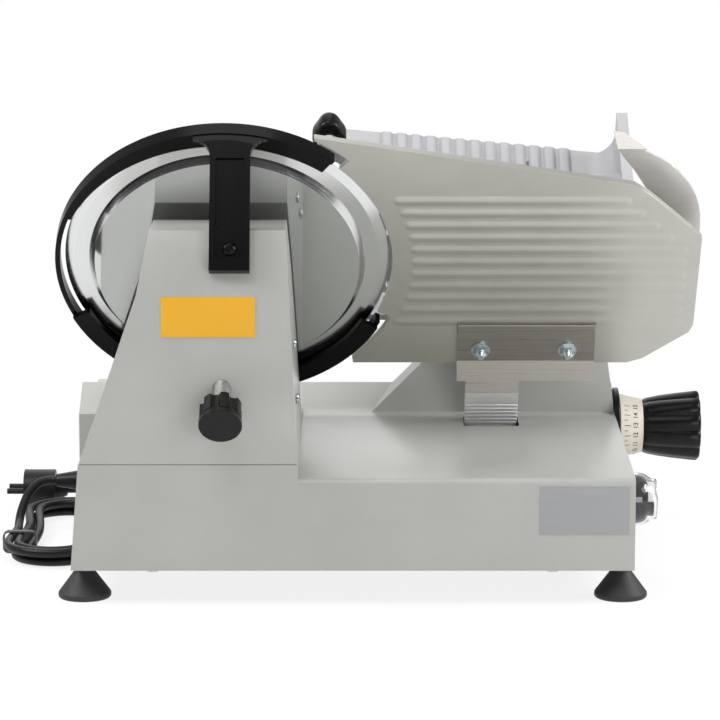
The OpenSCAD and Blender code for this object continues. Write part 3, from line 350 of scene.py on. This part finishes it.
wears = {
    "castEnamel": ["base_casting", "carriage_arm"],
    "columnEnamel": ["column_cover"],
    "blackEnamel": ["ring_guard", "ring_guard_screw"],
    "bladeSteel": ["blade"],
    "turnedSteel": [
        "bearings", "blade_hub", "motor_rotor", "tie_rod", "tie_rod_sleeve", "gauge_guide_rod", "dial_shaft",
        "carriage_rod", "pusher_rod", "pusher_slider", "pusher_arm",
    ],
    "zincSteel": [
        "bottom_plate_screws", "column_cover_screws", "blade_screws", "gauge_bolts", "gauge_nuts",
    ],
    "rolledSteel": ["bottom_plate", "carriage_track"],
    "gaugeAlloy": ["gauge_plate"],
    "stainless": ["gauge_bracket"],
    "guardSheet": ["hand_guard"],
    "tableAlloy": ["food_table", "blade_cover", "pusher_plate"],
    "castAlloy": ["drive_frame", "bearing_housing", "gauge_carrier", "carriage_slider"],
    "brightAlloy": ["gauge_post"],
    "footRubber": ["feet"],
    "beltRubber": ["drive_belt"],
    "knobPlastic": [
        "tie_rod_knob", "dial_collar", "dial_knob", "carriage_grip", "table_lock_knob", "pusher_knob",
    ],
    "bezelPlastic": ["switch_bezel", "stop_button"],
    "clearSilicone": ["switch_ring"],
    "whitePlastic": ["start_button"],
    "padPlastic": ["glide_pad"],
    "ivoryPlastic": ["dial_drum"],
    "motorEnamel": ["motor_body"],
    "camBrass": ["dial_cam"],
    "bronze": ["carriage_bushes"],
    "yellowFilm": ["yellow_decal"],
    "silverFoil": ["rating_plate"],
    "cordSheath": ["cord_gland", "cord_run", "cord_hank", "cord_tail", "plug"],
    "tieStrip": ["cord_tie"],
}
for name, members in wears.items():
    for node in members:
        slots = nodes[node].data.materials
        slots.clear()
        slots.append(finish[name])
print("finishes given to", sum(len(m) for m in wears.values()), "nodes")

# The cord, one tube from the gland through the hank to the plug, on the route of the solids
cordSet = {
    "diameter": 7.2,
    "run": [
        (-243.5, 140, 42), (-250, 140, 42), (-258.5, 137, 39.5), (-265.5, 128, 32.5), (-269.5, 115, 22.5),
        (-270.6, 104.5, 15.5),
    ],
    "tail": [
        (-202.5, 190, 6), (-208, 203, 9), (-217, 212.5, 13), (-225, 217, 16.5), (-232, 218, 18),
        (-241, 218, 18),
    ],
    "leadOut": 10,  # straight on from the hank before the tail
    "centre": (-236, 100),
    "runLength": 122,
    "inner": 22,
    "pitch": 8,
    "drawIn": 4,
    "low": 5,
    "layer": 7.8,
    "turnBack": 2.14,  # loop at which the hank drops to its lower layer
    "dropShare": 0.8,  # of a straight run, taken by that drop
    "start": 0.1607,
    "end": 3.78,
    "runShare": 0.28,
    "pointsPerLoop": 48,
    "endSteps": 5,  # curve points between two given ones
    "hankSteps": 2,
    "roundness": 4,
}


def hankPoint(q):  # q counts loops
    c = cordSet
    f = q - math.floor(q)
    half = c["runLength"] / 2
    arcShare = 0.5 - c["runShare"]
    r = c["inner"] + c["pitch"] * abs(q - c["turnBack"])
    down = max(0.0, min(1.0, (q - c["turnBack"]) / (c["dropShare"] * c["runShare"]) + 0.5))
    z = c["low"] + c["layer"] * (1 - down * down * (3 - 2 * down))
    x0, y0 = c["centre"]
    if f < c["runShare"] or 0.5 <= f < 0.5 + c["runShare"]:
        side = -1 if f < 0.5 else 1
        y = side * ((f - (0 if side < 0 else 0.5)) / c["runShare"] * c["runLength"] - half)
        pinch = (1 + math.cos(2 * math.pi * y / c["runLength"])) / 2
        return Vector((x0 + side * (r - c["drawIn"] * pinch), y0 + y, z))
    if f < 0.5:
        a = math.pi * (f - c["runShare"]) / arcShare
        return Vector((x0 - r * math.cos(a), y0 - half - r * math.sin(a), z))
    a = math.pi * (f - 0.5 - c["runShare"]) / arcShare
    return Vector((x0 + r * math.cos(a), y0 + half + r * math.sin(a), z))


def smoothPath(points, stepsPer):  # a smooth curve through the points
    pts = [Vector(p) for p in points]
    pts = [2 * pts[0] - pts[1]] + pts + [2 * pts[-1] - pts[-2]]
    out = []
    for i in range(1, len(pts) - 2):
        p0, p1, p2, p3 = pts[i - 1 : i + 3]
        bend = 2 * p0 - 5 * p1 + 4 * p2 - p3
        twist = 3 * p1 - p0 - 3 * p2 + p3
        for k in range(stepsPer):
            t = k / stepsPer
            out.append(0.5 * (2 * p1 + (p2 - p0) * t + bend * t * t + twist * t ** 3))
    out.append(pts[-2])
    return out


loops = cordSet["end"] - cordSet["start"]
hankCount = math.ceil(loops * cordSet["pointsPerLoop"])
hankPoints = [hankPoint(cordSet["start"] + loops * i / hankCount) for i in range(hankCount + 1)]
lastPoint = hankPoints[-1]
lastWay = (lastPoint - hankPoints[-2]).normalized()
endSteps = cordSet["endSteps"]
runPath = smoothPath(cordSet["run"] + hankPoints[:2], endSteps)[: -endSteps - 1]
hankPath = smoothPath(hankPoints, cordSet["hankSteps"])[:-1]
tailPath = smoothPath([lastPoint, lastPoint + cordSet["leadOut"] * lastWay] + cordSet["tail"], endSteps)
cordPoints = runPath + hankPath + tailPath
cordCurve = bpy.data.curves.new("mainsCord", "CURVE")
cordCurve.dimensions = "3D"
cordCurve.bevel_depth = cordSet["diameter"] / 2 * mm
cordCurve.bevel_resolution = cordSet["roundness"]
cordCurve.use_fill_caps = True
spline = cordCurve.splines.new("POLY")
spline.points.add(len(cordPoints) - 1)
for point, place in zip(spline.points, cordPoints):
    point.co = (*machine(*place), 1)
cord = bpy.data.objects.new("mainsCord", cordCurve)
bpy.context.scene.collection.objects.link(cord)
cordCurve.materials.append(finish["cordSheath"])
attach(cord, "base")
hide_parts("cord_run", "cord_hank", "cord_tail")

# Edges as cast, folded or moulded: each copy stands for its node, with its edges rounded in mm
bodies = frame["record"]["behaviour"]["bodies"]
bodyOf = {node: body for body, members in bodies.items() for node in members}
slotOf = {part["node"]: part["material_slot"] for part in frame["record"]["subparts"]}
rounding = {
    5.0: ["column_cover"],
    3.0: ["carriage_grip"],
    2.2: ["base_casting", "carriage_arm"],
    2.0: ["tie_rod_knob", "plug"],
    2.5: ["food_table"],
    1.4: ["gauge_plate", "table_lock_knob"],
    0.8: [
        "dial_collar", "feet", "carriage_slider", "pusher_arm", "cord_gland", "drive_frame", "motor_body",
    ],
    1.0: ["gauge_bracket"],
    0.6: ["start_button", "stop_button", "dial_drum", "ring_guard_screw"],
    0.4: [
        "hand_guard", "gauge_post", "gauge_nuts", "column_cover_screws", "bottom_plate_screws",
        "tie_rod_sleeve", "carriage_track", "pusher_slider", "gauge_carrier", "pusher_plate",
    ],
}
edgeSet = {
    "crease": 32,  # degrees from which an edge is rounded
    "flat": 0.4,  # degrees up to which faces join
    "weld": 0.01,  # mm
    "fine": 0.7,  # mm below which two steps are enough
}
gaugeRibs = {
    "count": 11, "pitch": 12.35, "width": 11.4, "height": 0.65, "smooth": 60,
    "plate": 5.0,  # the plate's face, and how far a rib may stand out before it is pressed flat
    "flush": 0.05,
    "sink": 0.02,
    "round": 146.0,  # the left ends follow the blade, the right ends step out to the last
    "first": 305, "step": 11.5, "last": 351,
}


def newPiece(name, points, faces, material, body, slotName, *stoodFor):
    mesh = bpy.data.meshes.new(name)
    mesh.from_pydata(points, [], faces)
    mesh.materials.append(material)
    piece = bpy.data.objects.new(name, mesh)
    bpy.context.scene.collection.objects.link(piece)
    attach(piece, body)
    if stoodFor:
        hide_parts(*stoodFor)
    return piece


def smoothBy(piece, degrees):
    piece.data.polygons.foreach_set("use_smooth", [True] * len(piece.data.polygons))
    piece.data.set_sharp_from_angle(angle=math.radians(degrees))


weld = edgeSet["weld"] * mm
for width, members in rounding.items():
    for node in members:
        source = nodes[node].data
        work = bmesh.new()
        work.from_mesh(source)
        if node == "gauge_plate":  # its ribs come back below as rounded beads
            for v in work.verts:
                rise = -fromBlade(v.co).dot(foodSide) - gaugeRibs["plate"]
                if rise > gaugeRibs["flush"]:
                    v.co += foodSide * rise * mm
        bmesh.ops.remove_doubles(work, verts=work.verts, dist=weld)
        if node == "gauge_plate":
            bmesh.ops.dissolve_degenerate(work, dist=weld, edges=work.edges)
        flat = math.radians(edgeSet["flat"])
        bmesh.ops.dissolve_limit(work, angle_limit=flat, verts=work.verts, edges=work.edges)
        points = [v.co.copy() for v in work.verts]
        faces = [[v.index for v in f.verts] for f in work.faces]
        work.free()
        material = source.materials[0]
        piece = newPiece(node + "Edged", points, faces, material, bodyOf[node], slotOf[node], node)
        smoothBy(piece, edgeSet["crease"])
        edge = piece.modifiers.new("edge", "BEVEL")
        edge.width = width * mm
        edge.segments = 2 if width < edgeSet["fine"] else 3
        edge.limit_method = "ANGLE"
        edge.angle_limit = math.radians(edgeSet["crease"])
        edge.use_clamp_overlap = True
        edge.miter_outer = "MITER_ARC"
        even = piece.modifiers.new("even", "WEIGHTED_NORMAL")
        even.keep_sharp = True
print("edges rounded on", sum(len(m) for m in rounding.values()), "pieces")

# The blade, mirror in the middle and ground at the rim
bladeSet = {"rim": 101.0, "smooth": 20}
source = nodes["blade"].data
points = [v.co.copy() for v in source.vertices]
faces = [list(f.vertices) for f in source.polygons]
blade = newPiece("bladeGround", points, faces, finish["bladeSteel"], "blade", slotOf["blade"], "blade")
blade.data.materials.append(finish["groundSteel"])
for face in blade.data.polygons:
    away = fromBlade(face.center)
    away -= foodSide * away.dot(foodSide)
    if away.length > bladeSet["rim"]:
        face.material_index = 1
smoothBy(blade, bladeSet["smooth"])


def bands(rows, around, first=0, closed=False):  # faces between rows of points
    total = rows * around
    out = []
    for r in range(rows if closed else rows - 1):
        for k in range(around):
            a, b = r * around + k, r * around + (k + 1) % around
            out.append([first + i % total for i in (a, b, b + around, a + around)])
    return out


def capped(rows, around):  # the same, with both ends shut
    last = (rows - 1) * around
    return bands(rows, around) + [list(range(around))[::-1], list(range(last, last + around))]


beadSet = {
    "shares": [1.0, 0.9, 0.78, 0.64, 0.48, 0.3, 0.06],  # of half the width, foot to crown
    "arcPoints": 9,
}


def bead(start, end, side, out, size, profile, points, faces):  # a raised rib with round ends
    along = (end - start).normalized()
    first = len(points)
    arc = beadSet["arcPoints"]
    for f in beadSet["shares"]:
        reach = f * size["width"] * mm / 2
        rise = out * (size["height"] * mm * profile(f))
        for centre, turn in ((end, -90), (start, 90)):
            for k in range(arc):
                a = math.radians(turn + 180 * k / (arc - 1))
                flat = along * math.cos(a) + side * math.sin(a)
                points.append(centre + flat * reach + rise)
    faces += bands(len(beadSet["shares"]), 2 * arc, first)
    faces.append(list(range(len(points) - 2 * arc, len(points))))


def soft(f):
    return 0.5 + 0.5 * math.cos(math.pi * f)


def blunt(f):
    return 1 - f ** 4


# Rounded beads pressed into the gauge plate
points, faces = [], []
level = gaugeRibs["plate"] - gaugeRibs["sink"]
for i in range(gaugeRibs["count"]):
    w = ((gaugeRibs["count"] - 1) / 2 - i) * gaugeRibs["pitch"]
    left = bladePoint(math.sqrt(gaugeRibs["round"] ** 2 - w * w), w, level)
    right = bladePoint(min(gaugeRibs["last"], gaugeRibs["first"] + gaugeRibs["step"] * i), w, level)
    bead(left, right, upBlade, -foodSide, gaugeRibs, soft, points, faces)
ribs = newPiece("gaugePlateRibs", points, faces, finish["gaugeAlloy"], "gauge", slotOf["gauge_plate"])
smoothBy(ribs, gaugeRibs["smooth"])

# Corrugations of the food table, out to its slanted far edge
tableRibs = {
    "count": 13, "pitch": 12.25, "width": 10.4, "height": 2.3, "smooth": 60,
    "first": 125, "near": 22, "top": -66.0,
    "left": (85, 240),  # both ends of the far edge
    "right": (322, 205),
    "beyond": 6,  # past that edge before the cut
    "margin": 1.2,  # short of it after the cut
}
points, faces = [], []
slant = (tableRibs["right"][1] - tableRibs["left"][1]) / (tableRibs["right"][0] - tableRibs["left"][0])
for i in range(tableRibs["count"]):
    u = tableRibs["first"] + tableRibs["pitch"] * i
    far = tableRibs["left"][1] + slant * (u - tableRibs["left"][0])
    first = len(points)
    start = bladePoint(u, tableRibs["top"], -tableRibs["near"])
    end = bladePoint(u, tableRibs["top"], -far - tableRibs["beyond"])
    bead(start, end, Vector((1, 0, 0)), upBlade, tableRibs, blunt, points, faces)
    for point in points[first:]:  # cut off flush with the slanted edge
        place = fromBlade(point)
        over = place.dot(foodSide) - (far + slant * (place.x - u)) + tableRibs["margin"]
        if over > 0:
            point -= foodSide * over * mm
material, body, slotName = finish["tableAlloy"], bodyOf["food_table"], slotOf["food_table"]
ribs = newPiece("foodTableRibs", points, faces, material, body, slotName)
smoothBy(ribs, tableRibs["smooth"])

# Reeding on the front of the bright post
postReeds = {
    "count": 8, "pitch": 3.8, "width": 3.4, "height": 0.7, "smooth": 60,
    "from": 187.5, "to": 226.5, "top": -139.0, "front": 19.71,
}
points, faces = [], []
for i in range(postReeds["count"]):
    w = postReeds["top"] - postReeds["pitch"] * i
    start, end = (bladePoint(postReeds[key], w, postReeds["front"]) for key in ("from", "to"))
    bead(start, end, upBlade, -foodSide, postReeds, blunt, points, faces)
reeds = newPiece("postReeds", points, faces, finish["brightAlloy"], "gauge", slotOf["gauge_post"])
smoothBy(reeds, postReeds["smooth"])
print("ribs and reeds raised")

# Thickness dial: fluted knob, then the scale printed round the drum
dialSet = {
    "axis": (128.0, 90.0), "smooth": 40,
    "knobFrom": 234.5, "knobTo": 280.5, "knobSmall": 21.5, "knobLarge": 28.9,
    "flare": 0.62,  # power by which the knob widens
    "lobes": 10, "sidesPerLobe": 16,
    "fluteNear": 0.05, "fluteMore": 0.06,  # depth as a share of the radius, and its growth outwards
    "flutePower": 0.8,
    "neck": 0.5,  # share of the length in which the swell counts little
    "neckSwell": 0.03,
    # share of the length, then swell
    "stations": [
        (0.0, 0.0), (0.02, 0.6), (0.1, 0.8), (0.3, 0.95), (0.55, 1.0), (0.8, 1.0), (0.95, 1.0), (0.975, 0.98),
        (0.99, 0.955), (1.0, 0.91),
    ],
    "drumFrom": 215.5, "drumTo": 234.5, "drumLarge": 26.0, "drumSmall": 21.5,
    "inkLift": 0.08,
    "marks": 16, "turn": 20.0, "zeroAt": -21.0,
    "numeral": 3.6, "numeralAt": 228.2,
    "capShare": 0.69,  # capital height of the font
    "bolder": 0.09,
    "tickAt": 219.0, "tickLong": 4.6, "tickShort": 2.6, "tickWide": 0.55,
}


def dialPoint(x, angle, r):  # angle from the top, towards the operator
    return machine(x, dialSet["axis"][0] - r * math.sin(angle), dialSet["axis"][1] + r * math.cos(angle))


points = []
sides = dialSet["lobes"] * dialSet["sidesPerLobe"]
for t, swell in dialSet["stations"]:
    x = dialSet["knobFrom"] + t * (dialSet["knobTo"] - dialSet["knobFrom"])
    size = dialSet["knobSmall"] + (dialSet["knobLarge"] - dialSet["knobSmall"]) * t ** dialSet["flare"]
    size *= 1 - dialSet["neckSwell"] * (1 - swell) if t < dialSet["neck"] else swell
    depth = dialSet["fluteNear"] + dialSet["fluteMore"] * t
    for k in range(sides):
        a = 2 * math.pi * k / sides
        flute = (1 - abs(math.cos(a * dialSet["lobes"] / 2)) ** dialSet["flutePower"]) * depth
        points.append(dialPoint(x, a, size * (1 - flute)))
faces = capped(len(dialSet["stations"]), sides)
material, body, slotName = finish["knobPlastic"], bodyOf["dial_knob"], slotOf["dial_knob"]
knob = newPiece("dialKnobFluted", points, faces, material, body, slotName, "dial_knob")
smoothBy(knob, dialSet["smooth"])


def drumRadius(x):
    t = (x - dialSet["drumFrom"]) / (dialSet["drumTo"] - dialSet["drumFrom"])
    return dialSet["drumLarge"] + t * (dialSet["drumSmall"] - dialSet["drumLarge"]) + dialSet["inkLift"]


points, faces = [], []
for i in range(2 * dialSet["marks"] - 1):
    angle = math.radians(dialSet["zeroAt"] - dialSet["turn"] / 2 * i)
    length = dialSet["tickLong"] if i % 2 == 0 else dialSet["tickShort"]
    half = dialSet["tickWide"] / 2 / drumRadius(dialSet["tickAt"])
    first = len(points)
    for along, a in ((0, -half), (length, -half), (length, half), (0, half)):
        x = dialSet["tickAt"] + along
        points.append(dialPoint(x, angle + a, drumRadius(x)))
    faces.append((first, first + 1, first + 2, first + 3))
for i in range(dialSet["marks"]):
    angle = math.radians(dialSet["zeroAt"] - dialSet["turn"] * i)
    letters = bpy.data.curves.new("numeral", "FONT")
    letters.body = str(i)
    letters.size = dialSet["numeral"] / dialSet["capShare"]
    letters.offset = dialSet["bolder"]
    letters.align_x = "CENTER"
    letters.align_y = "CENTER"
    sample = bpy.data.objects.new("numeral", letters)
    bpy.context.scene.collection.objects.link(sample)
    shape = sample.evaluated_get(bpy.context.evaluated_depsgraph_get()).to_mesh()
    first = len(points)
    for v in shape.vertices:
        x = dialSet["numeralAt"] - v.co.y
        points.append(dialPoint(x, angle - v.co.x / drumRadius(x), drumRadius(x)))
    faces.extend([[first + k for k in f.vertices] for f in shape.polygons])
    bpy.data.objects.remove(sample)
    bpy.data.curves.remove(letters)
newPiece("dialScale", points, faces, finish["inkBlack"], bodyOf["dial_drum"], slotOf["dial_drum"])
print("dial scale printed:", dialSet["marks"], "numbers")

# Switch: black bezel with a round nose, and the clear boot over it
switchSet = {
    "axis": (-60.0, 70.0), "sides": 64, "smooth": 40,
    # distance out along the width, then radius, round the closed section
    "bezel": [
        (205, 11.4), (211.05, 11.4), (211.05, 18.5), (215.5, 18.5), (218.5, 18.1), (221, 17.1), (222.6, 15.8),
        (223.3, 14.4), (223, 13.4), (212, 13.4), (212, 3), (205, 3),
    ],
    "boot": [
        (211.2, 20.4), (216, 20.3), (219.4, 19.7), (222.2, 18.6), (224.4, 17), (226, 15.9), (228, 15.5),
        (229.8, 15.3), (230.4, 14.9), (230.2, 14.5), (227.5, 14.5), (225.4, 15), (223.8, 16.1), (221.8, 17.8),
        (219.2, 18.9), (216, 19.4), (211.2, 19.5),
    ],
}


def turnedRing(name, section, finishName, node):  # a closed section swept round the switch
    points = []
    y0, z0 = switchSet["axis"]
    sides = switchSet["sides"]
    for x, r in section:
        for k in range(sides):
            a = 2 * math.pi * k / sides
            points.append(machine(x, y0 + r * math.cos(a), z0 + r * math.sin(a)))
    faces = bands(len(section), sides, closed=True)
    piece = newPiece(name, points, faces, finish[finishName], bodyOf[node], slotOf[node], node)
    smoothBy(piece, switchSet["smooth"])


turnedRing("switchBezelRound", switchSet["bezel"], "bezelPlastic", "switch_bezel")
turnedRing("switchBoot", switchSet["boot"], "clearSilicone", "switch_ring")
print("switch turned")

# Three-lobed knob of the meat pusher
lobeSet = {
    "middle": (79.0, 86.0), "radius": 12.4, "lobes": 3, "lobe": 0.13, "sides": 72, "smooth": 40,
    # place along the blade's axis, then share of the radius
    "stations": [
        (-42, 0.8), (-42.3, 0.9), (-43.2, 0.97), (-44.6, 1), (-54, 1), (-55.6, 0.97), (-56.6, 0.9), (-57, 0.78),
    ],
}
points = []
u0, w0 = lobeSet["middle"]
for s, share in lobeSet["stations"]:
    for k in range(lobeSet["sides"]):
        a = 2 * math.pi * k / lobeSet["sides"]
        r = share * lobeSet["radius"] * (1 - lobeSet["lobe"] * math.sin(lobeSet["lobes"] * a))
        points.append(bladePoint(u0 + r * math.cos(a), w0 + r * math.sin(a), s))
faces = capped(len(lobeSet["stations"]), lobeSet["sides"])
material, body, slotName = finish["knobPlastic"], bodyOf["pusher_knob"], slotOf["pusher_knob"]
knob = newPiece("pusherKnobLobed", points, faces, material, body, slotName, "pusher_knob")
smoothBy(knob, lobeSet["smooth"])
print("pusher knob set")

# Rolled hem along the top of the bracket, and the joint line under the column
boxFaces = [(0, 1, 3, 2), (4, 6, 7, 5), (0, 4, 5, 1), (2, 3, 7, 6), (0, 2, 6, 4), (1, 5, 7, 3)]
hemSet = {"along": (179.0, 287.5), "up": (-71.0, -62.4), "out": (7.4, 9.0), "edge": 1.2, "steps": 3, "smooth": 32}
points = [bladePoint(*corner) for corner in product(hemSet["along"], hemSet["up"], hemSet["out"])]
hem = newPiece("bracketHem", points, boxFaces, finish["stainless"], "gauge", slotOf["gauge_bracket"])
smoothBy(hem, hemSet["smooth"])
edge = hem.modifiers.new("edge", "BEVEL")
edge.width = hemSet["edge"] * mm
edge.segments = hemSet["steps"]
seamSet = {"across": (-203.5, -41.5), "deep": (-110.06, -109.0), "up": (106.7, 107.25)}
points = [machine(*corner) for corner in product(seamSet["across"], seamSet["deep"], seamSet["up"])]
newPiece("columnJoint", points, boxFaces, finish["jointShade"], "base", slotOf["column_cover"])
print("hem and joint line set")

# The strip round the cord, bent to the strands
tieSet = {"width": 6.0, "thick": 1.2, "bend": 4.7, "steps": 6, "smooth": 40}
corners = [v.co / mm for v in nodes["cord_tie"].data.vertices]
low = Vector([min(c[i] for c in corners) for i in range(3)])
high = Vector([max(c[i] for c in corners) for i in range(3)])
points, faces = [], []
for inset, side in product((0.0, tieSet["thick"]), (-0.5, 0.5)):
    r = tieSet["bend"] - inset
    y = (low.y + high.y) / 2 + side * tieSet["width"]
    for cx, cz, turn in ((1, 1, 0), (0, 1, 90), (0, 0, 180), (1, 0, 270)):
        x = (high.x - tieSet["bend"]) if cx else (low.x + tieSet["bend"])
        z = (high.z - tieSet["bend"]) if cz else (low.z + tieSet["bend"])
        for k in range(tieSet["steps"] + 1):
            a = math.radians(turn + 90 * k / tieSet["steps"])
            points.append(Vector((x + r * math.cos(a), y, z + r * math.sin(a))) * mm)
n = len(points) // 4
for k in range(n):
    m = (k + 1) % n
    faces += [(k, m, n + m, n + k), (2 * n + k, 3 * n + k, 3 * n + m, 2 * n + m)]
    faces += [(k, 2 * n + k, 2 * n + m, m), (n + k, n + m, 3 * n + m, 3 * n + k)]
tie = newPiece("cordTieStrip", points, faces, finish["tieStrip"], "base", slotOf["cord_tie"], "cord_tie")
smoothBy(tie, tieSet["smooth"])
